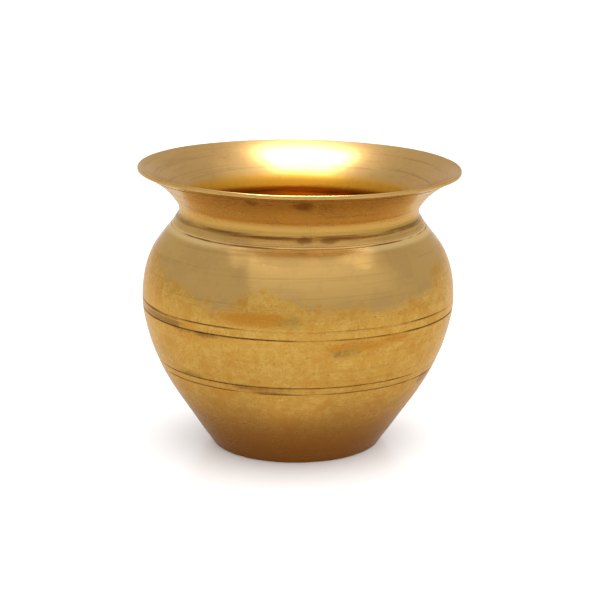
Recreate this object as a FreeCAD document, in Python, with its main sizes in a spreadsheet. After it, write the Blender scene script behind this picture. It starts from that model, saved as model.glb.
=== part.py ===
import FreeCAD, Part
import math
import os
import Sketcher

# Brass kalash pot: a squat water pot with a round belly, a tight neck and a wide flared mouth.
# The wall is sheet brass, formed in three rings that are brazed to each other, and a disc that
# closes the bottom.  The pot stands on z = 0 and its axis is +Z.  Millimetres and degrees.
#
# Every wall is two tangent arcs outside and the same two arcs, offset by the wall, inside.
# The first arc (belly or neck) is placed by its centre; the second one runs on from it to the
# end of the ring, so its radius follows from where it ends.

SIZES = {
    # the mouth
    "mouth_radius": 63.5,
    "lip_underside": 110.6,
    "lip_round": 0.6,
    # the neck, at its narrowest
    "neck_radius": 47.3,
    "neck_height": 94.8,
    "neck_curve": 6.6,
    "flare_joint": 98.8,
    # the belly, at its widest
    "belly_radius": 62.1,
    "belly_height": 59.6,
    "belly_curve": 47.2,
    "shoulder_joint": 75.6,
    "bowl_joint": 40.8,
    # the foot
    "foot_radius": 33.2,
    "foot_corner": 1.3,
    "foot_opening": 26.0,
    "disc_radius": 28.0,
    # the sheet and its seams
    "wall": 1.5,
    "neck_seam": 89.9,
    "socket_radius": 48.5,
    "spigot_bore": 47.3,
    "spigot_length": 1.0,
    "lap": 4.0,
    # the brazing bead left inside each seam
    "neck_bead": 1.1,
    "belly_bead": 0.9,
    "foot_bead": 1.2,
    # the engraved lines
    "line_depth": 0.35,
    "line_width": 0.9,
    "belly_line_upper": 60.5,
    "belly_line_lower": 57.0,
    "bowl_line_upper": 37.1,
    "bowl_line_lower": 34.3,
}

OUT = "parts"
SHARED = 1e-6

doc = FreeCAD.newDocument("kalash")
sheet = doc.addObject("Spreadsheet::Sheet", "Sizes")
for row, (alias, value) in enumerate(SIZES.items(), start=1):
    sheet.set("A%d" % row, alias.replace("_", " "))
    sheet.set("B%d" % row, str(value))
    sheet.setAlias("B%d" % row, alias)
doc.recompute()


def cell(alias):
    """The expression that reads one cell of the sheet."""
    return "Sizes." + alias


BELLY_CENTRE = (cell("belly_radius") + " - " + cell("belly_curve"), cell("belly_height"))
NECK_CENTRE = (cell("neck_radius") + " + " + cell("neck_curve"), cell("neck_height"))
HALF_WALL = "(" + cell("belly_radius") + " - " + cell("wall") + " / 2)"
INNER_BELLY = "(" + cell("belly_radius") + " - " + cell("wall") + ")"
LAP_END = "(" + cell("belly_height") + " - " + cell("lap") + ")"
SPIGOT_END = "(" + cell("neck_seam") + " - " + cell("spigot_length") + ")"
SEAM_RADIUS = "(%s - sqrt(%s ^ 2 - (%s - %s) ^ 2))" % (
    NECK_CENTRE[0], cell("neck_curve"), cell("neck_height"), cell("neck_seam"))


# ---------------------------------------------------------------- sketch helpers

def number(item, expression):
    """The plain number an expression gives now."""
    value = item.evalExpression(expression)
    return float(getattr(value, "Value", value))


def new_body(label):
    body = doc.addObject("PartDesign::Body", label)
    body.Label = label
    body.Placement = FreeCAD.Placement()
    return body


def new_sketch(body, name):
    """A sketch on the body's own XZ plane: sketch x is the radius, sketch y is the height."""
    sketch = body.newObject("Sketcher::SketchObject", name)
    planes = [item for item in body.Origin.OriginFeatures if item.Role == "XZ_Plane"]
    sketch.AttachmentSupport = (planes[0], [""])
    sketch.MapMode = "FlatFace"
    return sketch


def dimension(sketch, kind, geometry, expression):
    """Adds a DistanceX, DistanceY or Radius constraint bound to the sheet."""
    value = number(sketch, expression)
    index = sketch.addConstraint(Sketcher.Constraint(kind, *geometry, value))
    sketch.setExpression("Constraints[%d]" % index, expression)
    return index


def link(sketch, kind, *geometry):
    sketch.addConstraint(Sketcher.Constraint(kind, *geometry))


def measure(sketch, kind, geometry, name):
    """Adds a reference dimension, and gives the expression that reads it as a plain number."""
    index = sketch.addConstraint(Sketcher.Constraint(kind, *geometry, 1.0))
    sketch.setDriving(index, False)
    sketch.renameConstraint(index, name)
    return "(%s.Constraints.%s / 1 mm)" % (sketch.Name, name)


def radius_at(centre, curve, height):
    """The expression for an arc's outer radius from the pot's axis at a height."""
    return "(%s + sqrt(%s ^ 2 - (%s - %s) ^ 2))" % (centre[0], curve, height, centre[1])


class Arc:
    """An arc in a sketch, with one end at its joint with the next arc and one free end."""

    def __init__(self, sketch, centre, joint, free):
        def bearing(point):
            return math.atan2(point[1] - centre[1], point[0] - centre[0])

        first, last = bearing(joint), bearing(free)
        joint_first = (last - first) % (2 * math.pi) < math.pi
        if not joint_first:
            first, last = last, first
        circle = Part.Circle(FreeCAD.Vector(*centre, 0), FreeCAD.Vector(0, 0, 1),
                             math.dist(centre, joint))
        self.index = sketch.addGeometry(Part.ArcOfCircle(circle, first, last), False)
        self.centre = (self.index, 3)
        self.joint = (self.index, 1 if joint_first else 2)
        self.free = (self.index, 2 if joint_first else 1)


def toward(start, end, distance):
    """The point at a distance from start on the way to end."""
    share = distance / math.dist(start, end)
    return tuple(a + (b - a) * share for a, b in zip(start, end))


def on_circle(centre, radius, side, height):
    """The point of a circle at a height, on its outer (1) or inner (-1) side."""
    return (centre[0] + side * math.sqrt(radius ** 2 - (height - centre[1]) ** 2), height)


def running_on(centre, joint, end):
    """The centre of the arc that leaves joint along the first arc's tangent and meets end."""
    normal = ((centre[0] - joint[0]) / math.dist(centre, joint),
              (centre[1] - joint[1]) / math.dist(centre, joint))
    chord = (end[0] - joint[0], end[1] - joint[1])
    radius = (chord[0] ** 2 + chord[1] ** 2) / (2 * (chord[0] * normal[0] + chord[1] * normal[1]))
    return (joint[0] + normal[0] * radius, joint[1] + normal[1] * radius)


def wall_arcs(sketch, centre, curve, side, joint_height, near, far, inner_near, inner_far):
    """The four arcs of a wall.  side is 1 where the wall bulges out and -1 where it is waisted.

    near is the height of the first arc's free end, and far is the point where the second arc
    ends.  inner_near is the height of the inner first arc's free end.  inner_far is a pair:
    the axis, "DistanceX" or "DistanceY", and the value that places the inner second arc's end.
    """
    middle = tuple(number(sketch, part) for part in centre)
    radius = number(sketch, curve)
    offset = number(sketch, cell("wall")) * side
    end = tuple(number(sketch, part) for part in far)
    joint = on_circle(middle, radius, side, number(sketch, joint_height))
    second_centre = running_on(middle, joint, end)
    inner_joint = toward(middle, joint, radius - offset)
    inner_radius = math.dist(second_centre, inner_joint)
    inner_end = toward(second_centre, end, inner_radius)

    first = Arc(sketch, middle, joint, on_circle(middle, radius, side, number(sketch, near)))
    second = Arc(sketch, second_centre, joint, end)
    inner_first = Arc(sketch, middle, inner_joint,
                      on_circle(middle, radius - offset, side, number(sketch, inner_near)))
    inner_second = Arc(sketch, second_centre, inner_joint, inner_end)

    dimension(sketch, "DistanceX", first.centre, centre[0])
    dimension(sketch, "DistanceY", first.centre, centre[1])
    dimension(sketch, "Radius", (first.index,), curve)
    dimension(sketch, "DistanceY", first.free, near)
    dimension(sketch, "DistanceY", first.joint, joint_height)
    link(sketch, "Tangent", *second.joint, *first.joint)
    dimension(sketch, "DistanceX", second.free, far[0])
    dimension(sketch, "DistanceY", second.free, far[1])

    link(sketch, "Coincident", *inner_first.centre, *first.centre)
    sign = "-" if side > 0 else "+"
    dimension(sketch, "Radius", (inner_first.index,), "%s %s %s" % (curve, sign, cell("wall")))
    dimension(sketch, "DistanceY", inner_first.free, inner_near)
    link(sketch, "Coincident", *inner_second.centre, *second.centre)
    link(sketch, "Tangent", *inner_second.joint, *inner_first.joint)
    dimension(sketch, inner_far[0], inner_second.free, inner_far[1])
    return first, second, inner_first, inner_second


def join(sketch, start, corners, end):
    """Straight lines from one arc's free end to another's through the corners given."""
    points = [(number(sketch, x), number(sketch, y)) for x, y in corners]
    places = [sketch.getPoint(*start)[:2]] + points + [sketch.getPoint(*end)[:2]]
    previous = start
    for step, (here, there) in enumerate(zip(places, places[1:])):
        line = Part.LineSegment(FreeCAD.Vector(*here, 0), FreeCAD.Vector(*there, 0))
        index = sketch.addGeometry(line, False)
        link(sketch, "Coincident", index, 1, *previous)
        previous = (index, 2)
        if step < len(corners):
            dimension(sketch, "DistanceX", previous, corners[step][0])
            dimension(sketch, "DistanceY", previous, corners[step][1])
    link(sketch, "Coincident", *previous, *end)


def turn(body, sketch, kind, name):
    """A full turn of a sketch about the pot's axis: PartDesign Revolution or Groove."""
    feature = body.newObject("PartDesign::" + kind, name)
    feature.Profile = sketch
    feature.ReferenceAxis = (sketch, ["V_Axis"])
    feature.Angle = 360
    sketch.Visibility = False
    doc.recompute()
    return feature


def engrave(body, name, centre, curve):
    """A V-shaped line cut round the outside, at the height that has the line's name."""
    sketch = new_sketch(body, name + "_sketch")
    height = cell(name)
    radius = radius_at(centre, curve, height)
    corners = [
        ("%s - %s" % (radius, cell("line_depth")), height),
        ("%s + %s" % (radius, cell("line_depth")), "%s + %s" % (height, cell("line_width"))),
        ("%s + %s" % (radius, cell("line_depth")), "%s - %s" % (height, cell("line_width"))),
    ]
    points = [FreeCAD.Vector(number(sketch, x), number(sketch, y), 0) for x, y in corners]
    for here, there in zip(points, points[1:] + points[:1]):
        sketch.addGeometry(Part.LineSegment(here, there), False)
    for side in range(3):
        link(sketch, "Coincident", side, 2, (side + 1) % 3, 1)
        dimension(sketch, "DistanceX", (side, 1), corners[side][0])
        dimension(sketch, "DistanceY", (side, 1), corners[side][1])
    before = body.Shape.Volume
    turn(body, sketch, "Groove", name)
    if not body.Shape.Volume < before - SHARED:
        raise RuntimeError(name + " cuts nothing")


def round_edges(body, name, radius, height_test, size):
    """Rounds the circular edges of a given radius whose height passes the test."""
    base = body.Tip
    wanted = number(sheet, cell(radius))
    names = []
    for index, edge in enumerate(base.Shape.Edges, start=1):
        if not isinstance(edge.Curve, Part.Circle):
            continue
        if abs(edge.Curve.Radius - wanted) < SHARED * 10 and height_test(edge.Curve.Center.z):
            names.append("Edge%d" % index)
    if not names:
        raise RuntimeError(name + " finds no edge")
    fillet = body.newObject("PartDesign::Fillet", name)
    fillet.Base = (base, names)
    fillet.setExpression("Radius", cell(size))
    doc.recompute()


# ---------------------------------------------------------------- the brass pieces

def make_base_disc():
    """The disc that closes the bottom, lapped on the bowl's inturned flange."""
    disc = doc.addObject("Part::Cylinder", "base_disc")
    disc.Label = "base_disc"
    disc.setExpression("Radius", cell("disc_radius"))
    disc.setExpression("Height", cell("wall"))
    disc.setExpression("Placement.Base.z", cell("wall"))
    return disc


def make_lower_bowl():
    """The lower body, from its inturned foot flange up to the widest point of the belly."""
    body = new_body("lower_bowl")
    sketch = new_sketch(body, "lower_bowl_outline")
    belly, bowl, inner_belly, inner_bowl = wall_arcs(
        sketch, BELLY_CENTRE, cell("belly_curve"), 1, cell("bowl_joint"),
        near=cell("belly_height"),
        far=(cell("foot_radius"), "0 mm"),
        inner_near=LAP_END,
        inner_far=("DistanceY", cell("wall")))
    join(sketch, belly.free, [(HALF_WALL, cell("belly_height")), (HALF_WALL, LAP_END)],
         inner_belly.free)
    join(sketch, inner_bowl.free,
         [(cell("foot_opening"), cell("wall")), (cell("foot_opening"), "0 mm")], bowl.free)
    bowl_centre = (measure(sketch, "DistanceX", bowl.centre, "centre_radius"),
                   measure(sketch, "DistanceY", bowl.centre, "centre_height"))
    bowl_curve = measure(sketch, "Radius", (bowl.index,), "curve")
    turn(body, sketch, "Revolution", "lower_bowl_wall")
    round_edges(body, "foot_corner", "foot_radius", lambda height: height < 1, "foot_corner")
    engrave(body, "belly_line_lower", BELLY_CENTRE, cell("belly_curve"))
    engrave(body, "bowl_line_upper", bowl_centre, bowl_curve)
    engrave(body, "bowl_line_lower", bowl_centre, bowl_curve)
    return body


def make_shoulder_shell():
    """The upper body, from the belly up to the neck.  Its lower edge laps inside the bowl."""
    body = new_body("shoulder_shell")
    sketch = new_sketch(body, "shoulder_outline")
    belly, shoulder, inner_belly, inner_shoulder = wall_arcs(
        sketch, BELLY_CENTRE, cell("belly_curve"), 1, cell("shoulder_joint"),
        near=cell("belly_height"),
        far=(SEAM_RADIUS, cell("neck_seam")),
        inner_near=cell("belly_height"),
        inner_far=("DistanceX", cell("socket_radius")))
    join(sketch, belly.free,
         [(HALF_WALL, cell("belly_height")), (HALF_WALL, LAP_END), (INNER_BELLY, LAP_END)],
         inner_belly.free)
    join(sketch, shoulder.free, [(cell("socket_radius"), cell("neck_seam"))],
         inner_shoulder.free)
    turn(body, sketch, "Revolution", "shoulder_wall")
    engrave(body, "belly_line_upper", BELLY_CENTRE, cell("belly_curve"))
    return body


def make_mouth_collar():
    """The neck and the flared mouth, with a short spigot that drops into the shoulder."""
    body = new_body("mouth_collar")
    sketch = new_sketch(body, "collar_outline")
    neck, flare, inner_neck, inner_flare = wall_arcs(
        sketch, NECK_CENTRE, cell("neck_curve"), -1, cell("flare_joint"),
        near=cell("neck_seam"),
        far=(cell("mouth_radius"), cell("lip_underside")),
        inner_near=cell("neck_seam"),
        inner_far=("DistanceX", cell("mouth_radius")))
    join(sketch, neck.free,
         [(cell("socket_radius"), cell("neck_seam")), (cell("socket_radius"), SPIGOT_END),
          (cell("spigot_bore"), SPIGOT_END)],
         inner_neck.free)
    join(sketch, flare.free, [], inner_flare.free)
    turn(body, sketch, "Revolution", "collar_wall")
    round_edges(body, "lip_round", "mouth_radius", lambda height: True, "lip_round")
    return body


# ---------------------------------------------------------------- the brazing

def make_bead(label, radius, height, size, neighbours):
    """The ring of brazing metal along the inside of a seam, shaped by the pieces it joins."""
    ring = doc.addObject("Part::Torus", label + "_ring")
    ring.setExpression("Radius1", radius)
    ring.setExpression("Radius2", cell(size))
    ring.setExpression("Placement.Base.z", height)
    walls = doc.addObject("Part::MultiFuse", label + "_walls")
    walls.Shapes = neighbours
    bead = doc.addObject("Part::Cut", label)
    bead.Label = label
    bead.Base = ring
    bead.Tool = walls
    return bead


base_disc = make_base_disc()
lower_bowl = make_lower_bowl()
shoulder_shell = make_shoulder_shell()
mouth_collar = make_mouth_collar()
base_braze = make_bead("base_braze", cell("disc_radius"), cell("wall"), "foot_bead",
                       [base_disc, lower_bowl])
belly_braze = make_bead("belly_braze", INNER_BELLY, LAP_END, "belly_bead",
                        [lower_bowl, shoulder_shell])
neck_braze = make_bead("neck_braze", cell("socket_radius"), SPIGOT_END, "neck_bead",
                       [shoulder_shell, mouth_collar])
doc.recompute()

# ---------------------------------------------------------------- checks and files

pieces = [base_disc, base_braze, lower_bowl, belly_braze, shoulder_shell, neck_braze, mouth_collar]
for item in doc.Objects:
    if any(word in item.State for word in ("Invalid", "Error")):
        raise RuntimeError("%s failed: %s" % (item.Name, item.State))
for piece in pieces:
    if piece.Shape.isNull() or not piece.Shape.isValid() or len(piece.Shape.Solids) != 1:
        raise RuntimeError(piece.Label + " is not one valid solid")

os.makedirs(OUT, exist_ok=True)
for piece in pieces:
    piece.Shape.exportStep(os.path.join(OUT, piece.Label + ".step"))
    box = piece.Shape.BoundBox
    print("%-15s radius %.2f  z %.2f to %.2f  volume %.0f" % (
        piece.Label, box.XMax, box.ZMin, box.ZMax, piece.Shape.Volume))
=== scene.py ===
import math
from collections import namedtuple
from functools import cache

import bpy
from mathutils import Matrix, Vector, noise


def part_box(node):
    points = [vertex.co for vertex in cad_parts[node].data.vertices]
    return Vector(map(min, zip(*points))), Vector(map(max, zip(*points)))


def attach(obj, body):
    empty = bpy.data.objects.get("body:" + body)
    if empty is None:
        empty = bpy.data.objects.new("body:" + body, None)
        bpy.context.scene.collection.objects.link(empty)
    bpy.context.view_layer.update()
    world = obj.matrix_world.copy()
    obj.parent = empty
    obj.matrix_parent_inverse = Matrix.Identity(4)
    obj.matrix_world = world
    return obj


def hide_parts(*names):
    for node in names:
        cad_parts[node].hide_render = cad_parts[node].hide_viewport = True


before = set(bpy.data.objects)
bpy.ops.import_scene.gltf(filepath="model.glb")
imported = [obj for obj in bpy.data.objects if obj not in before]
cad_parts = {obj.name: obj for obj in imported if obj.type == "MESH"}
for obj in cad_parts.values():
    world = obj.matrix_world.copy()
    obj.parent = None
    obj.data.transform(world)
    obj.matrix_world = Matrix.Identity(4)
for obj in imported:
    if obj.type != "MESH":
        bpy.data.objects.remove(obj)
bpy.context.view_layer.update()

MM = 0.001

# ---------------------------------------------------------------- sizes, in millimetres
# Heights and radii that a CAD node's box gives are read from it.  The others are the ones that
# the part is drawn with.

def top_of(node):
    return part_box(node)[1].z / MM


def bottom_of(node):
    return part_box(node)[0].z / MM


def radius_of(node):
    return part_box(node)[1].x / MM


HEIGHT = top_of("mouth_collar")
BELLY_HEIGHT = top_of("lower_bowl")
BELLY_RADIUS = radius_of("lower_bowl")
BELLY_CURVE = 47.2       # radius of the belly's arc
BOWL_JOINT = 40.8        # height where the lower body's arc takes over from it
SHOULDER_JOINT = 75.6    # and the shoulder's arc
NECK_RADIUS = 47.3
NECK_HEIGHT = 94.8
NECK_CURVE = 6.6         # radius of the neck's arc
FLARE_JOINT = 98.8       # height where the flare's arc takes over from it
NECK_SEAM = top_of("shoulder_shell")
SPIGOT_END = bottom_of("mouth_collar")
SPIGOT_BORE = 47.3
SOCKET_RADIUS = 48.5
LAP_END = bottom_of("shoulder_shell")
MOUTH_RADIUS = radius_of("mouth_collar")
LIP_UNDERSIDE = 110.6
FOOT_RADIUS = 33.2
FOOT_CORNER = 1.3
FOOT_OPENING = 26.0
DISC_RADIUS = radius_of("base_disc")
DISC_TOP = top_of("base_disc")
WALL = bottom_of("base_disc")

SECTORS = 360            # steps round the pot
DISC_SECTORS = 180
BEAD_SECTORS = 240
BEAD_STEPS = 12          # steps along the arc of a bead
FINE = 0.5               # spacing along the outside of the wall
COARSE = 1.2             # spacing along the inside
GROOVE_STEPS = 5         # how many times finer the spacing is at an engraved line
CORNER_STEPS = 4         # steps to each radian of a round corner
EDGE_BREAK = 0.16        # how far a sharp edge is rubbed off
EDGE_SHARE = 0.45        # and at most this share of the way to the next point
LIP_BREAK = 0.60         # how far from the lip the arcs of the wall stop
LIP_ROUND = 0.75 * LIP_BREAK
SHARP_TURN = math.radians(25)     # a corner of an outline that turns more is rubbed
SHARP_EDGE = math.radians(40)     # an edge of a mesh that turns more is shaded sharp
SAME = 1e-4              # points closer than this are one
ON_AXIS = 1e-6           # a radius smaller than this is none

# Where a point of the outline lies, and which of a piece's two materials a face has.
EDGE, OUTSIDE, INSIDE, SEAM = range(4)
OUTSIDE_BRASS, INSIDE_BRASS = range(2)

# The engraved lines.  Worn, from 0 to 1, is how much of a line has lost depth and patina.
Cut = namedtuple("Cut", "height depth half_width worn seed")
ENGRAVED = (
    Cut(60.5, 0.22, 0.32, 0.50, 3.0),
    Cut(57.0, 0.34, 0.38, 0.22, 11.0),
    Cut(37.1, 0.28, 0.36, 0.25, 23.0),
    Cut(34.3, 0.22, 0.32, 0.42, 31.0),
    Cut(89.3, 0.14, 0.28, 0.55, 43.0),
    Cut(108.9, 0.12, 0.30, 0.40, 61.0),
)

# How a line varies round the pot, as layers of noise: how much, how fine, and what is added to
# the line's seed.  It wanders up and down, its width changes and it keeps more or less patina.
WANDER = ((0.10, 1.6, 0), (0.05, 7.0, 5))
WIDENING = ((0.25, 5.0, 9),)
KEPT = ((0.9, 2.6, 2), (0.3, 11.0, 7))
WEAR_RANGE = 0.45        # how far the noise has to rise for a line to go from worn to whole
WORN_DEPTH = 0.4         # the shares of its depth and its patina that are left where it's worn
WORN_PATINA = 0.12
WIDEST = 1.3             # more times its usual width than a line ever has
FURTHEST = 0.3           # and further than it ever wanders
CUT_END = 2              # how many half widths away a line has surely ended

# The turning marks: how deep they are, how much deeper at the neck, and the finer ones.
MARK_DEPTH = 0.006
NECK_MARK_DEPTH = 0.016
NECK_MARK_HEIGHT = 97
NECK_MARK_REACH = 9
FINE_MARK_DEPTH = 0.004

# Where the wall bulges or dips from its plain arcs: height, reach, how far out or in.
SWELLS = (
    (0.0, 2.5, 0.45),
    (13.5, 6.0, -0.42),
    (30.5, 7.5, 0.38),
    (48.5, 6.0, -0.30),
    (73.5, 9.0, 0.34),
    (85.0, 3.5, -0.28),
    (91.4, 2.2, 0.85),
    (98.5, 3.0, 0.28),
    (111.0, 4.0, 0.25),
)
DENTS = ((0.13, 0.045), (0.035, 0.13))    # how deep and how fine
OUT_OF_ROUND = 0.0012    # a share of the radius, at the mouth
OVAL_TURN = 0.7          # which way that is widest, in radians
EDGE_WAVE = 0.22         # how uneven the height of the mouth's edge is
EDGE_FINENESS = 0.03
CENTRE_RADIUS = 20       # bulges and dents fade out within this radius
MIDDLE_RADIUS = 1        # and have ended within this one
SWELL_END = 3            # how many reaches away a bulge has ended
# A painted dark reflection among the stains ends within the same reach.
STAIN_END = 2.5          # and a stain

NO_STAINS = (0.0, 0.0, 0.0)

# The pot was turned by hand, so it leans and its mouth isn't quite level.
LEAN = 1.5               # how far the mouth's middle is to the right of the foot's
MOUTH_TILT = math.tan(math.radians(0.82))     # the slope of the mouth, down to the right
FAR_LIFT = 0.0025        # the slope at which its far half rises

# How high the golden tarnish reaches: at the front, how much higher at the sides, and its
# tongues and bays: degrees round from the front, reach, how much higher.
TARNISH_FRONT = 69.0
TARNISH_SIDES = 13.0
SIDE_START = 42          # degrees round where it starts to be higher
SIDE_WIDTH = 36          # and over how many it climbs
TONGUES = (
    (-8, 11, 5.5),
    (-27, 5, -3.0),
    (26, 15, -1.5),
    (-46, 12, 4.0),
)
BACK_REACH = 50
BACK_FALL = 7.0          # how much lower at the back

# Stains and four painted dark reflections: degrees round from the front, height, how far they
# reach round and up, and how much orange, olive and brown they hold.
STAINS_AND_DARK_REFLECTIONS = (
    (-14, 64.5, 16, 2.8, 0.95, 0.00, 0.25),
    (-2, 64.0, 6, 4.0, 0.10, 0.60, 0.15),
    (21, 53.8, 13, 2.6, 0.90, 0.30, 0.15),
    (16, 51.2, 7, 2.2, 0.10, 0.70, 0.35),
    (36, 55.4, 9, 1.8, 0.80, 0.00, 0.00),
    (-40, 55.0, 12, 3.0, 0.45, 0.00, 0.00),
    (-17, 36.4, 15, 1.9, 0.25, 0.00, 0.62),
    (-46, 38.0, 12, 1.6, 0.00, 0.00, 0.55),
    (64, 33.0, 6, 3.0, 0.00, 0.00, 0.90),
    (-60, 58.8, 18, 1.9, 0.00, 0.00, 1.00),
    (-36, 56.4, 14, 1.5, 0.00, 0.00, 0.60),
    (-12, 34.8, 9, 1.2, 0.00, 0.00, 0.62),
    # These four are painted dark reflections, not stains: two brown marks under the flare, two in
    # the crease.
    (1.7, 106.6, 4.5, 2.6, 0.00, 0.00, 0.95),
    (-18, 107.5, 2.5, 1.6, 0.00, 0.00, 0.90),
    (2.6, 92.2, 4, 1.5, 0.00, 0.00, 0.95),
    (13.7, 92.2, 5, 1.5, 0.00, 0.00, 0.95),
    (-60, 45.0, 8, 4.0, 0.00, 0.45, 0.25),
    (104, 63.0, 20, 4.5, 0.80, 0.20, 0.00),
    (148, 51.0, 18, 5.0, 0.45, 0.60, 0.15),
    (-118, 55.0, 22, 3.5, 0.85, 0.00, 0.15),
    (-158, 66.0, 15, 4.0, 0.35, 0.70, 0.00),
    (176, 36.5, 22, 2.4, 0.10, 0.00, 0.75),
    (-98, 36.0, 12, 2.0, 0.00, 0.00, 0.60),
)

# ---------------------------------------------------------------- the outline of the wall

def on_circle(centre, radius, side, height):
    """The point of a circle at a height, on its outer side (1) or the one by the axis (-1)."""
    return (centre[0] + side * math.sqrt(radius ** 2 - (height - centre[1]) ** 2), height)


def above(centre, radius, reach):
    """The point of a circle's upper half at a distance from the pot's axis."""
    return (reach, centre[1] + math.sqrt(radius ** 2 - (reach - centre[0]) ** 2))


def running_on(centre, joint, end):
    """The centre of the arc that carries on from joint along the first arc to end."""
    reach = math.dist(centre, joint)
    normal = ((centre[0] - joint[0]) / reach, (centre[1] - joint[1]) / reach)
    chord = (end[0] - joint[0], end[1] - joint[1])
    along = chord[0] * normal[0] + chord[1] * normal[1]
    radius = (chord[0] ** 2 + chord[1] ** 2) / (2 * along)
    return (joint[0] + normal[0] * radius, joint[1] + normal[1] * radius)


def between(start, end, share, zone):
    """The point that is a share of the way from start to end."""
    return (start[0] + (end[0] - start[0]) * share, start[1] + (end[1] - start[1]) * share, zone)


def line(start, end, step, zone):
    count = max(1, round(math.dist(start, end) / step))
    return [between(start, end, index / count, zone) for index in range(count + 1)]


def arc(centre, start, end, step, zone):
    """Points along an arc, the short way round."""
    radius = math.dist(centre, start)
    first = math.atan2(start[1] - centre[1], start[0] - centre[0])
    turn = math.atan2(end[1] - centre[1], end[0] - centre[0]) - first
    turn = (turn + math.pi) % math.tau - math.pi
    count = max(2, round(abs(turn) * radius / step))
    return [(centre[0] + radius * math.cos(first + turn * index / count),
             centre[1] + radius * math.sin(first + turn * index / count), zone)
            for index in range(count + 1)]


def near_line(height):
    """Whether an engraved line can reach this height, however it wanders."""
    return any(abs(height - cut.height) < WIDEST * cut.half_width + FURTHEST for cut in ENGRAVED)


def chain(runs):
    """Runs of points end to end: shared points once, and finer steps at the engraved lines."""
    points = []
    for point in (point for run in runs for point in run):
        if points and math.dist(point[:2], points[-1][:2]) < SAME:
            continue
        if points and point[2] == OUTSIDE and near_line((point[1] + points[-1][1]) / 2):
            points += [between(points[-1], point, index / GROOVE_STEPS, OUTSIDE)
                       for index in range(1, GROOVE_STEPS)]
        points.append(point)
    if math.dist(points[0][:2], points[-1][:2]) < SAME:
        points.pop()
    return points


def join_up(*runs):
    """One closed outline from runs of points, with its sharp corners rubbed off."""
    points = chain(runs)
    made = []
    for index, point in enumerate(points):
        before = points[index - 1]
        after = points[(index + 1) % len(points)]
        arriving = math.atan2(point[1] - before[1], point[0] - before[0])
        leaving = math.atan2(after[1] - point[1], after[0] - point[0])
        turn = abs((leaving - arriving + math.pi) % math.tau - math.pi)
        if turn < SHARP_TURN or point[2] == SEAM:
            made.append(point)
            continue
        for other in (before, after):
            share = min(EDGE_BREAK / math.dist(point[:2], other[:2]), EDGE_SHARE)
            made.append(between(point, other, share, EDGE))
    return made


def rounded(before, corner, after, radius):
    """A round corner between two straight directions, as points."""
    ways = []
    for other in (before, after):
        reach = math.dist(corner, other)
        ways.append(((other[0] - corner[0]) / reach, (other[1] - corner[1]) / reach))
    half = math.acos(ways[0][0] * ways[1][0] + ways[0][1] * ways[1][1]) / 2
    setback = radius / math.tan(half)
    middle = (ways[0][0] + ways[1][0], ways[0][1] + ways[1][1])
    length = math.hypot(*middle)
    centre = tuple(corner[axis] + middle[axis] / length * radius / math.sin(half)
                   for axis in (0, 1))
    start = tuple(corner[axis] + ways[0][axis] * setback for axis in (0, 1))
    end = tuple(corner[axis] + ways[1][axis] * setback for axis in (0, 1))
    return arc(centre, start, end, radius / CORNER_STEPS, EDGE)


BELLY_CENTRE = (BELLY_RADIUS - BELLY_CURVE, BELLY_HEIGHT)
NECK_CENTRE = (NECK_RADIUS + NECK_CURVE, NECK_HEIGHT)


def wall_curves(centre, curve, side, joint_height, end):
    """The second arc's centre, and where the two arcs join outside and inside the wall."""
    joint = on_circle(centre, curve, side, joint_height)
    share = (curve - side * WALL) / curve
    inner_joint = tuple(centre[axis] + (joint[axis] - centre[axis]) * share for axis in (0, 1))
    return running_on(centre, joint, end), joint, inner_joint


def bowl_outline():
    foot = (FOOT_RADIUS, 0.0)
    bowl, joint, inner_joint = wall_curves(BELLY_CENTRE, BELLY_CURVE, 1, BOWL_JOINT, foot)
    outer = math.dist(bowl, joint)
    rise = math.atan2(foot[0] - bowl[0], bowl[1] - foot[1])
    setback = FOOT_CORNER * math.tan(rise / 2)
    corner = (FOOT_RADIUS - setback, FOOT_CORNER)
    wall_end = on_circle(bowl, outer, 1, setback * math.sin(rise))
    half = BELLY_RADIUS - WALL / 2
    inner_low = on_circle(bowl, outer - WALL, 1, WALL)
    inner_top = on_circle(BELLY_CENTRE, BELLY_CURVE - WALL, 1, LAP_END)
    return join_up(
        [(BELLY_RADIUS, BELLY_HEIGHT, SEAM)],
        arc(BELLY_CENTRE, (BELLY_RADIUS, BELLY_HEIGHT), joint, FINE, OUTSIDE)[1:],
        arc(bowl, joint, wall_end, FINE, OUTSIDE),
        arc(corner, wall_end, (corner[0], 0.0), FINE / 2, OUTSIDE),
        line((corner[0], 0.0), (FOOT_OPENING, 0.0), COARSE, OUTSIDE),
        line((FOOT_OPENING, 0.0), (FOOT_OPENING, WALL), WALL, EDGE),
        line((FOOT_OPENING, WALL), inner_low, COARSE, INSIDE),
        arc(bowl, inner_low, inner_joint, COARSE, INSIDE),
        arc(BELLY_CENTRE, inner_joint, inner_top, COARSE, INSIDE),
        line((half, LAP_END), (half, BELLY_HEIGHT), COARSE, SEAM),
    )


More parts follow.
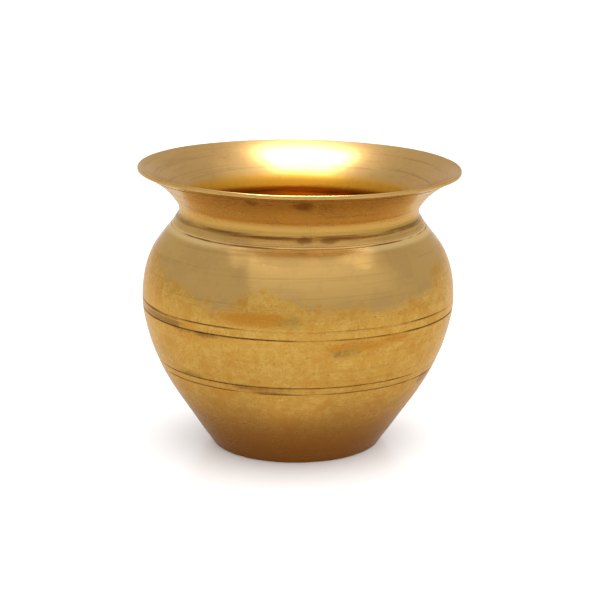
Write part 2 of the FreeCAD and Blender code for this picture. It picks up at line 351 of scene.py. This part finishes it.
def shoulder_outline():
    seam = on_circle(NECK_CENTRE, NECK_CURVE, -1, NECK_SEAM)
    shoulder, joint, inner_joint = wall_curves(
        BELLY_CENTRE, BELLY_CURVE, 1, SHOULDER_JOINT, seam)
    inner = math.dist(shoulder, inner_joint)
    half = BELLY_RADIUS - WALL / 2
    inside = BELLY_RADIUS - WALL
    socket = above(shoulder, inner, SOCKET_RADIUS)
    return join_up(
        line((half, LAP_END), (half, BELLY_HEIGHT), COARSE, SEAM),
        [(BELLY_RADIUS, BELLY_HEIGHT, SEAM)],
        arc(BELLY_CENTRE, (BELLY_RADIUS, BELLY_HEIGHT), joint, FINE, OUTSIDE)[1:],
        arc(shoulder, joint, seam, FINE, OUTSIDE),
        line((SOCKET_RADIUS, NECK_SEAM), socket, COARSE, SEAM),
        arc(shoulder, socket, inner_joint, COARSE, INSIDE),
        arc(BELLY_CENTRE, inner_joint, (inside, BELLY_HEIGHT), COARSE, INSIDE),
        line((inside, BELLY_HEIGHT), (inside, LAP_END), COARSE, INSIDE),
    )


def collar_outline():
    lip = (MOUTH_RADIUS, LIP_UNDERSIDE)
    flare, joint, inner_joint = wall_curves(NECK_CENTRE, NECK_CURVE, -1, FLARE_JOINT, lip)
    inner = math.dist(flare, inner_joint)
    top = above(flare, inner, MOUTH_RADIUS)
    start = on_circle(NECK_CENTRE, NECK_CURVE, -1, NECK_SEAM)
    inner_start = on_circle(NECK_CENTRE, NECK_CURVE + WALL, -1, NECK_SEAM)
    outer = math.dist(flare, joint)
    under = on_circle(flare, outer, -1, LIP_UNDERSIDE - LIP_BREAK)
    over = above(flare, inner, MOUTH_RADIUS - LIP_BREAK)
    return join_up(
        arc(NECK_CENTRE, start, joint, FINE, OUTSIDE),
        arc(flare, joint, under, FINE, OUTSIDE),
        rounded(under, lip, top, LIP_ROUND),
        rounded(lip, top, over, LIP_ROUND),
        arc(flare, over, inner_joint, FINE, INSIDE),
        arc(NECK_CENTRE, inner_joint, inner_start, FINE, INSIDE),
        line((SPIGOT_BORE, SPIGOT_END), (SOCKET_RADIUS, SPIGOT_END), COARSE, SEAM),
        line((SOCKET_RADIUS, SPIGOT_END), (SOCKET_RADIUS, NECK_SEAM), COARSE, SEAM),
    )


def disc_outline():
    return join_up(
        line((0.0, WALL), (DISC_RADIUS, WALL), COARSE / 2, OUTSIDE),
        line((DISC_RADIUS, WALL), (DISC_RADIUS, DISC_TOP), WALL, EDGE),
        line((DISC_RADIUS, DISC_TOP), (0.0, DISC_TOP), COARSE / 2, INSIDE),
    )


def bead_outline(corner, radius, first, last):
    """A run of brazing metal: a sector of a circle about the corner that it lies in."""
    points = []
    for index in range(BEAD_STEPS + 1):
        angle = math.radians(first + (last - first) * index / BEAD_STEPS)
        points.append((corner[0] + radius * math.cos(angle),
                       corner[1] + radius * math.sin(angle), INSIDE))
    return points + [(corner[0], corner[1], SEAM)]


# ---------------------------------------------------------------- making the meshes

def wave(angle, height, round_scale, up_scale, seed):
    """Smooth noise from -1 to 1 that closes on itself round the pot."""
    return noise.noise(Vector((math.cos(angle) * round_scale + seed,
                               math.sin(angle) * round_scale - seed, height * up_scale)))


def layered(angle, seed, layers):
    return sum(much * wave(angle, 0, fineness, 0, seed + extra) for much, fineness, extra in layers)


def hump(value, middle, reach):
    return math.exp(-((value - middle) / reach) ** 2)


def clipped(value):
    return min(1.0, max(0.0, value))


def cut_at(angle, height):
    """How deep an engraved line is here, and how much dark patina it holds."""
    for cut in ENGRAVED:
        if abs(height - cut.height) > CUT_END * cut.half_width:
            continue
        drift = layered(angle, cut.seed, WANDER)
        wide = cut.half_width * (1 + layered(angle, cut.seed, WIDENING))
        near = 1 - abs(height - cut.height - drift) / wide
        if near <= 0:
            return 0.0, 0.0
        kept = 0.5 + layered(angle, cut.seed, KEPT)
        whole = clipped((kept - cut.worn) / WEAR_RANGE + 0.5)
        depth = cut.depth * near * (WORN_DEPTH + (1 - WORN_DEPTH) * whole)
        return depth, min(1.0, 1.5 * near) * (WORN_PATINA + (1 - WORN_PATINA) * whole)
    return 0.0, 0.0


def turned_from_front(angle):
    """Degrees round the pot from the front, from -180 to 180."""
    return (math.degrees(angle) + 270) % 360 - 180


@cache
def tarnish_top(angle):
    """How high the golden tarnish reaches at this side of the pot."""
    around = turned_from_front(angle)
    side = clipped((abs(around) - SIDE_START) / SIDE_WIDTH)
    top = TARNISH_FRONT + TARNISH_SIDES * side * side * (3 - 2 * side)
    top += sum(rise * hump(around, middle, reach) for middle, reach, rise in TONGUES)
    return top - BACK_FALL * hump(abs(around), 180, BACK_REACH)


def stains_and_reflections_at(angle, height):
    """How much orange, olive and brown the stains and the painted dark reflections leave here."""
    around = turned_from_front(angle)
    shares = NO_STAINS
    for centre, level, reach, rise, *kinds in STAINS_AND_DARK_REFLECTIONS:
        if abs(height - level) > STAIN_END * rise or abs(around - centre) > STAIN_END * reach:
            continue
        share = hump(around, centre, reach) * hump(height, level, rise)
        shares = [max(held, share * kind) for held, kind in zip(shares, kinds)]
    return shares


def turning_marks(angle, height, radius):
    """How deep the marks of the lathe are here: shallow rings, deepest on the neck."""
    deep = MARK_DEPTH + NECK_MARK_DEPTH * hump(height, NECK_MARK_HEIGHT, NECK_MARK_REACH)
    fine = wave(angle, height + radius, round_scale=0.6, up_scale=4.3, seed=8.0)
    broad = wave(angle, height, round_scale=0.35, up_scale=1.9, seed=4.0)
    return deep * broad + FINE_MARK_DEPTH * fine


def settle(x, y, z):
    """The handmade unevenness that all the pieces share, in millimetres."""
    share = z / HEIGHT
    radius = math.hypot(x, y)
    if radius > MIDDLE_RADIUS:
        place = Vector((x, y, z))
        fuller = sum(much * hump(z, height, reach) for height, reach, much in SWELLS
                     if abs(z - height) < SWELL_END * reach)
        dent = sum(deep * noise.noise(place * fineness) for deep, fineness in DENTS)
        oval = OUT_OF_ROUND * radius * math.cos(2 * math.atan2(y, x) + OVAL_TURN) * share
        swell = 1 + ((dent + fuller) * min(1.0, radius / CENTRE_RADIUS) + oval) / radius
        x *= swell
        y *= swell
        z += EDGE_WAVE * share ** 6 * noise.noise(place * EDGE_FINENESS + Vector((7, 3, 0)))
    lifted = z + (FAR_LIFT * max(0.0, y) - MOUTH_TILT * x) * share
    return x + LEAN * share, y, max(0.0, lifted)


def runs_anticlockwise(outline):
    area = sum(outline[index - 1][0] * point[1] - point[0] * outline[index - 1][1]
               for index, point in enumerate(outline))
    return area > 0


def into_the_metal(outline):
    """The direction from each point of a closed outline into the metal that it bounds."""
    side = 1 if runs_anticlockwise(outline) else -1
    ways = []
    for index in range(len(outline)):
        before = outline[index - 1]
        after = outline[(index + 1) % len(outline)]
        along = (after[0] - before[0], after[1] - before[1])
        length = math.hypot(*along)
        ways.append((-along[1] / length * side, along[0] / length * side))
    return ways


class Vertices:
    """The vertices of a turned piece, with what the brass has to know at each."""

    def __init__(self, sectors):
        self.sectors = sectors
        self.places = []
        self.heights = []
        self.over_tarnish = []
        self.patina = []
        self.stains_and_reflections = []

    def add(self, place, height, over_tarnish, patina=0.0, stains_and_reflections=NO_STAINS):
        self.places.append(Vector(settle(*place)) * MM)
        self.heights.append(height)
        self.over_tarnish.append(over_tarnish)
        self.patina.append(patina)
        self.stains_and_reflections.extend(stains_and_reflections)

    def ring(self, point, way):
        """A point of the outline at every step round the pot, or just once on the axis."""
        radius, height, zone = point
        first = len(self.places)
        if radius < ON_AXIS:
            self.add((0, 0, height), height, 0.0)
            return [first] * self.sectors
        for step in range(self.sectors):
            angle = math.tau * step / self.sectors
            depth = patina = 0.0
            stains_and_reflections = NO_STAINS
            if zone == OUTSIDE:
                depth, patina = cut_at(angle, height)
                stains_and_reflections = stains_and_reflections_at(angle, height)
            if zone in (OUTSIDE, INSIDE):
                depth += turning_marks(angle, height, radius)
            out = radius + way[0] * depth
            place = (out * math.cos(angle), out * math.sin(angle), height + way[1] * depth)
            self.add(place, height, height - tarnish_top(angle), patina, stains_and_reflections)
        return range(first, first + self.sectors)


def band(one, two, forward):
    """The faces between two rings, all facing out of the metal."""
    faces = []
    for step in range(len(one)):
        after = (step + 1) % len(one)
        corners = [one[step], one[after], two[after], two[step]]
        corners = [corner for index, corner in enumerate(corners) if corner != corners[index - 1]]
        faces.append(corners if forward else corners[::-1])
    return faces


def lathe(name, outline, sectors):
    """Turns a closed outline about the pot's axis, with its marks cut in."""
    vertices = Vertices(sectors)
    rings = [vertices.ring(point, way) for point, way in zip(outline, into_the_metal(outline))]
    forward = runs_anticlockwise(outline)
    faces, materials = [], []
    for index, point in enumerate(outline):
        after = (index + 1) % len(outline)
        if max(point[0], outline[after][0]) < ON_AXIS:
            continue
        made = band(rings[index], rings[after], forward)
        brass = INSIDE_BRASS if INSIDE in (point[2], outline[after][2]) else OUTSIDE_BRASS
        faces += made
        materials += [brass] * len(made)
    mesh = bpy.data.meshes.new(name)
    mesh.from_pydata(vertices.places, [], faces)
    for key, kind, field, values in (("rest_height", "FLOAT", "value", vertices.heights),
                                     ("over_tarnish", "FLOAT", "value", vertices.over_tarnish),
                                     ("patina", "FLOAT", "value", vertices.patina),
                                     ("stains_and_reflections", "FLOAT_VECTOR", "vector", vertices.stains_and_reflections)):
        mesh.attributes.new(key, kind, "POINT").data.foreach_set(field, values)
    mesh.polygons.foreach_set("material_index", materials)
    mesh.polygons.foreach_set("use_smooth", [True] * len(faces))
    mesh.set_sharp_from_angle(angle=SHARP_EDGE)
    mesh.update()
    made = bpy.data.objects.new(name, mesh)
    bpy.context.collection.objects.link(made)
    return made


# ---------------------------------------------------------------- materials

class Graph:
    """A short way to write the nodes of a material or of the world."""

    def __init__(self, owner, shader="Principled BSDF"):
        owner.use_nodes = True
        self.owner = owner
        self.tree = owner.node_tree
        self.shader = self.tree.nodes[shader]

    def feed(self, node, key, value):
        """Links an output or sets a plain value on an input, by the input's name or number."""
        if isinstance(value, bpy.types.NodeSocket):
            self.tree.links.new(value, node.inputs[key])
        else:
            node.inputs[key].default_value = value

    def node(self, kind, settings=None, **inputs):
        made = self.tree.nodes.new(kind)
        for key, value in (settings or {}).items():
            setattr(made, key, value)
        for key, value in inputs.items():
            self.feed(made, key.replace("_", " "), value)
        return made

    def attribute(self, name, output):
        return self.node("ShaderNodeAttribute", {"attribute_name": name}).outputs[output]

    def maths(self, operation, *values):
        made = self.node("ShaderNodeMath", {"operation": operation})
        for index, value in enumerate(values):
            self.feed(made, index, value)
        return made.outputs[0]

    def add(self, one, two):
        return self.maths("ADD", one, two)

    def times(self, one, two):
        return self.maths("MULTIPLY", one, two)

    def swing(self, pattern, much):
        """A pattern from 0 to 1 as one that swings about 0."""
        return self.times(self.add(pattern, -0.5), much)

    def ramp(self, value, low, high):
        """0 below low, 1 above high, smooth between; low may be above high."""
        made = self.node("ShaderNodeMapRange", {"interpolation_type": "SMOOTHSTEP"},
                         Value=value, From_Min=low, From_Max=high)
        return made.outputs["Result"]

    def within(self, value, levels):
        """1 between the two middle levels, smooth to 0 at the first and the last."""
        first, second, third, last = levels
        return self.times(self.ramp(value, first, second), self.ramp(value, last, third))

    def speckle(self, place, scale, detail, roughness, distortion=0.0):
        made = self.node("ShaderNodeTexNoise", Vector=place, Scale=scale, Detail=detail,
                         Roughness=roughness, Distortion=distortion)
        return made.outputs["Fac"]

    def stretched(self, place, x, y, z):
        made = self.node("ShaderNodeVectorMath", {"operation": "MULTIPLY"})
        self.feed(made, 0, place)
        self.feed(made, 1, (x, y, z))
        return made.outputs[0]

    def blend(self, share, one, two):
        """A share of colour two over colour one."""
        made = self.node("ShaderNodeMix", {"data_type": "RGBA"})
        for index, value in ((0, share), (6, one), (7, two)):
            self.feed(made, index, value)
        return made.outputs[2]


CLEAN = (0.63, 0.385, 0.120, 1)
DULL = (0.57, 0.345, 0.115, 1)
LINING = (0.60, 0.36, 0.130, 1)
# Painted reflection: the deep orange of light bounced many times inside the throat.
THROAT = (0.60, 0.295, 0.030, 1)
# Painted highlight: a lighter brass that stands in for the bright reflection in the ring under the
# crease.
RING_HIGHLIGHT = (0.90, 0.62, 0.26, 1)
GOLD = (0.66, 0.365, 0.070, 1)
BRIGHT = (0.74, 0.45, 0.110, 1)
AMBER = (0.58, 0.245, 0.030, 1)
OLIVE = (0.46, 0.30, 0.072, 1)
BROWN = (0.26, 0.115, 0.030, 1)
# Partly the brass's own browner tone near the foot, partly a painted reflection of the shaded floor.
FOOT = (0.385, 0.145, 0.026, 1)
DARK = (0.165, 0.050, 0.012, 1)
GLANCING = (1.0, 0.90, 0.74, 1)     # what a reflection near a glancing angle is tinted

# Heights between which something comes in and goes out again.
NECK_BAND = (90.5, 93.5, 97.0, 102.0)
# HIGHLIGHT_RING is where that painted highlight lies.
HIGHLIGHT_RING = (86.6, 88.2, 89.7, 90.5)
# CREASE is where the painted band of shade and dark reflection lies.
CREASE = (91.8, 92.4, 93.3, 94.0)

OUTSIDE_ROUGHNESS = 0.145
INSIDE_ROUGHNESS = 0.30
TURNED_GLOSS = 0.5       # how far the turning marks stretch a reflection
QUARTER_TURN = 0.25      # which turns that stretch across the marks


class Brass(Graph):
    """Old brass: tan where it was polished, golden and orange where it has tarnished; some shade,
    highlights and reflections are painted in.
    """

    def __init__(self, name, inside):
        super().__init__(bpy.data.materials.new(name))
        self.inside = inside
        self.height = self.attribute("rest_height", "Fac")
        self.patina = self.attribute("patina", "Fac")
        place = self.node("ShaderNodeTexCoord").outputs["Object"]
        self.broad = self.speckle(place, 45.0, 3.0, 0.5)
        self.blotch = self.speckle(place, 110.0, 7.0, 0.68, 0.3)
        self.mottle = self.speckle(place, 330.0, 6.0, 0.70)
        self.grain = self.speckle(place, 1100.0, 3.0, 0.7)
        self.streak = self.speckle(self.stretched(place, 14, 14, 900), 1.0, 5.0, 0.65)
        self.rings = self.speckle(self.stretched(place, 6, 6, 2600), 1.0, 3.0, 0.6)
        self.broken = self.speckle(self.stretched(place, 60, 60, 1300), 1.0, 4.0, 0.6)
        self.tarnished = self.tarnish()

        colour = self.with_stains_and_reflections(self.blend(self.tarnished, self.polished(), self.golden()))
        tangent = self.node("ShaderNodeTangent", {"direction_type": "RADIAL", "axis": "Z"})
        for key, value in (("Base Color", self.crease_shade_and_patina(self.marked(self.worn(colour)))),
                           ("Roughness", self.roughness()),
                           ("Normal", self.relief()),
                           ("Tangent", tangent.outputs["Tangent"]),
                           ("Metallic", 1.0),
                           ("Anisotropic", TURNED_GLOSS),
                           ("Anisotropic Rotation", QUARTER_TURN),
                           ("Specular Tint", GLANCING)):
            self.feed(self.shader, key, value)

    def tarnish(self):
        """How golden it is: fully below a ragged edge round the shoulder, a third of that inside."""
        ragged = self.add(self.swing(self.broad, 9.0), self.swing(self.blotch, 20.0))
        over = self.add(self.attribute("over_tarnish", "Fac"), ragged)
        tarnished = self.ramp(over, 1.8, -2.4)
        return self.times(tarnished, 0.35) if self.inside else tarnished

    def polished(self):
        """The colour where it hasn't tarnished; inside, a painted orange reflection in the throat.
        """
        cloudy = self.times(self.ramp(self.blotch, 0.46, 0.60), 0.6)
        plain = self.blend(cloudy, LINING if self.inside else CLEAN, DULL)
        if not self.inside:
            return self.blend(self.times(self.within(self.height, NECK_BAND), 0.6), plain, GOLD)
        # Painted reflection: the inside of the throat is turned deep orange.
        plain = self.blend(self.ramp(self.height, 102.0, 98.0), plain, THROAT)
        return self.blend(self.times(self.ramp(self.mottle, 0.50, 0.66), 0.12), plain, BROWN)

    def golden(self):
        """The colour where it has."""
        gold = self.blend(self.times(self.ramp(self.mottle, 0.48, 0.58), 0.70), GOLD, BRIGHT)
        return self.blend(self.times(self.ramp(self.blotch, 0.52, 0.40), 0.45), gold, AMBER)

    def with_stains_and_reflections(self, colour):
        """The colour with its stains and its painted dark reflections, which have ragged edges."""
        kinds = self.node("ShaderNodeSeparateXYZ", Vector=self.attribute("stains_and_reflections", "Vector")).outputs
        ragged = self.add(self.swing(self.blotch, 1.1), self.swing(self.mottle, 1.0))
        for kind, tint, strength in zip(kinds, (AMBER, OLIVE, BROWN), (0.85, 0.60, 0.75)):
            held = self.times(self.ramp(self.add(kind, ragged), 0.22, 0.70),
                              self.ramp(kind, 0.02, 0.25))
            colour = self.blend(self.times(held, strength), colour, tint)
        return colour

    def worn(self, colour):
        """The colour, brown toward the foot, partly its own tone and partly a painted reflection of
        the shaded floor, and with a painted highlight in the ring under the crease.
        """
        low = self.add(self.height, self.swing(self.streak, 8.0))
        # Brown toward the foot: partly its tone, partly painted shade reflected from the floor
        # beneath.
        colour = self.blend(self.times(self.ramp(low, 36.0, 7.0), 0.95), colour, FOOT)
        if self.inside:
            return colour
        # Painted highlight: the ring under the crease is made lighter brass.
        return self.blend(self.times(self.within(self.height, HIGHLIGHT_RING), 0.85), colour, RING_HIGHLIGHT)

    def marked(self, colour):
        """The colour with the streaks of the turning tool, which are stronger upward, and specks."""
        turning = self.add(0.22, self.times(self.ramp(self.height, 88.0, 94.0), 0.28))
        colour = self.blend(self.times(self.ramp(self.streak, 0.52, 0.72), turning), colour, BROWN)
        specks = self.add(0.06, self.times(self.tarnished, 0.42))
        return self.blend(self.times(self.ramp(self.grain, 0.56, 0.70), specks), colour, BROWN)

    def crease_shade_and_patina(self, colour):
        """The colour with a painted band of shade and dark reflection in the crease, and the patina
        in the engraved lines.
        """
        # Painted shade and dark reflection: a broken brown band along the crease below the neck.
        crease = self.add(0.18, self.times(self.ramp(self.broken, 0.38, 0.58), 0.75))
        crease = self.times(self.within(self.height, CREASE), crease)
        colour = self.blend(crease, colour, BROWN)
        patina = self.times(self.patina, self.add(0.40, self.times(self.mottle, 0.9)))
        return self.blend(self.maths("MINIMUM", patina, 0.90), colour, DARK)

    def roughness(self):
        rough = self.add(INSIDE_ROUGHNESS if self.inside else OUTSIDE_ROUGHNESS,
                         self.swing(self.blotch, 0.10))
        rough = self.add(rough, self.times(self.tarnished, 0.12))
        rough = self.add(rough, self.swing(self.streak, 0.08))
        if self.inside:
            rough = self.add(rough, self.times(self.ramp(self.height, 103.0, 98.0), 0.08))
        else:
            rough = self.add(rough, self.times(self.ramp(self.height, 88.5, 91.0), 0.12))
        return self.add(rough, self.times(self.patina, 0.3))

    def relief(self):
        """The finest rings, streaks and grain, as a bump."""
        uneven = self.add(self.times(self.streak, 0.8), self.times(self.grain, 0.3))
        uneven = self.add(self.times(self.rings, 0.5), uneven)
        bump = self.node("ShaderNodeBump", Strength=0.35, Distance=0.00003, Height=uneven)
        return bump.outputs["Normal"]


# ---------------------------------------------------------------- the pieces

# Each bead lies in the corner that it fills, between two directions in degrees.
BASE_BEAD = bead_outline((DISC_RADIUS, WALL), 1.2, 0, 90)
BELLY_BEAD = bead_outline((BELLY_RADIUS - WALL, LAP_END), 0.9, 95, 265)
NECK_BEAD = bead_outline((SOCKET_RADIUS, SPIGOT_END), 1.1, 182, 316)

PIECES = (
    ("bowl_piece", "lower_bowl", "body_brass", bowl_outline(), SECTORS),
    ("shoulder_piece", "shoulder_shell", "body_brass", shoulder_outline(), SECTORS),
    ("collar_piece", "mouth_collar", "collar_brass", collar_outline(), SECTORS),
    ("base_piece", "base_disc", "base_brass", disc_outline(), DISC_SECTORS),
    ("base_bead", "base_braze", "braze", BASE_BEAD, BEAD_SECTORS),
    ("belly_bead", "belly_braze", "braze", BELLY_BEAD, BEAD_SECTORS),
    ("neck_bead", "neck_braze", "braze", NECK_BEAD, BEAD_SECTORS),
)

# In the order of OUTSIDE_BRASS and INSIDE_BRASS.
brasses = (Brass("brass_outside", inside=False), Brass("brass_inside", inside=True))

for piece_name, node, slot, outline, sectors in PIECES:
    piece = lathe(piece_name, outline, sectors)
    for brass in brasses:
        piece.data.materials.append(brass.owner)
    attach(piece, "root")
    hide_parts(node)

# ---------------------------------------------------------------- the floor, in metres from here

FLOOR_HALF = 6.0
FLOOR_LEVEL = -0.00002   # just clear of the foot, so that the two faces don't coincide
FLOOR_CORNERS = ((-1, -1), (1, -1), (1, 1), (-1, 1))
PAPER = (0.9, 0.9, 0.9, 1)
PAPER_IN_GLOSS = (0.52, 0.515, 0.505, 1)

floor_mesh = bpy.data.meshes.new("floor")
floor_mesh.from_pydata([(FLOOR_HALF * x, FLOOR_HALF * y, 0) for x, y in FLOOR_CORNERS],
                       [], [range(len(FLOOR_CORNERS))])
floor = bpy.data.objects.new("floor", floor_mesh)
floor.location.z = FLOOR_LEVEL
bpy.context.collection.objects.link(floor)

paper = Graph(bpy.data.materials.new("white_floor"))
in_gloss = paper.node("ShaderNodeLightPath").outputs["Is Glossy Ray"]
paper.feed(paper.shader, "Base Color", paper.blend(in_gloss, PAPER, PAPER_IN_GLOSS))
paper.feed(paper.shader, "Roughness", 0.18)
paper.feed(paper.shader, "Specular IOR Level", 0.4)
floor_mesh.materials.append(paper.owner)

# ---------------------------------------------------------------- light

GLOSS_SKY = 0.67         # how bright the studio is in the brass
SCREEN = 0.40            # how much the screen in front adds at its top
MATT_SKY = 1.95          # how bright the studio is as it lights the floor
FROM_RIGHT = 0.22        # the share by which that is stronger from the right

world = bpy.data.worlds.new("studio")
bpy.context.scene.world = world
sky = Graph(world, "Background")
toward = sky.node("ShaderNodeTexCoord").outputs["Generated"]
east, north, up = sky.node("ShaderNodeSeparateXYZ", Vector=toward).outputs


def screen_in_front():
    """A big soft screen, brighter toward its top, with a clean left edge and a soft right one."""
    facing = sky.add(sky.times(north, -0.84), sky.times(up, 0.54))
    across = sky.maths("DIVIDE", east, sky.maths("MAXIMUM", facing, 0.05))
    around = sky.maths("ARCTAN2", east, sky.times(north, -1.0))
    screen = sky.times(sky.ramp(across, -0.74, -0.64), sky.ramp(north, 0.20, -0.10))
    screen = sky.times(screen, sky.ramp(around, 1.85, 1.05))
    return sky.times(screen, sky.maths("MAXIMUM", up, 0.0))


def light_sky():
    """The camera sees plain white, and gloss and the floor each have their own level."""
    gloss = sky.add(GLOSS_SKY, sky.times(screen_in_front(), SCREEN))
    matt = sky.times(sky.add(1.0, sky.times(east, FROM_RIGHT)), MATT_SKY)
    rays = sky.node("ShaderNodeLightPath").outputs
    strength = sky.add(gloss, sky.times(rays["Is Diffuse Ray"], sky.maths("SUBTRACT", matt, gloss)))
    strength = sky.add(strength, sky.times(rays["Is Camera Ray"], sky.maths("SUBTRACT", 1.0, gloss)))
    sky.feed(sky.shader, "Color", (1, 1, 1, 1))
    sky.feed(sky.shader, "Strength", strength)


def panel(name, centre, width, depth, radiance):
    """A light that shines straight down and only shows in gloss."""
    light = bpy.data.lights.new(name, "AREA")
    light.shape = "RECTANGLE"
    light.size = width
    light.size_y = depth
    light.energy = radiance * math.pi * width * depth
    made = bpy.data.objects.new(name, light)
    made.location = centre
    made.visible_diffuse = False
    made.visible_camera = False
    bpy.context.collection.objects.link(made)


light_sky()
panel("overhead", (-0.055, 0.0, 1.6), 0.86, 1.0, 13.0)
panel("overhead_glow", (0.10, 0.05, 1.7), 2.8, 1.3, 0.35)

# ---------------------------------------------------------------- camera

CAMERA_PLACE = (0.00162, -0.7131, 0.2364)
CAMERA_DOWN = 14.10      # degrees below level
FOCAL_LENGTH = 109.86    # this and the sensor in millimetres
SENSOR_WIDTH = 36

lens = bpy.data.cameras.new("camera")
lens.lens = FOCAL_LENGTH
lens.sensor_width = SENSOR_WIDTH
lens.clip_end = 30
camera = bpy.data.objects.new("camera", lens)
camera.location = CAMERA_PLACE
camera.rotation_euler = (math.radians(90 - CAMERA_DOWN), 0, 0)
bpy.context.collection.objects.link(camera)
bpy.context.scene.camera = camera
bpy.context.scene.view_settings.view_transform = "Standard"
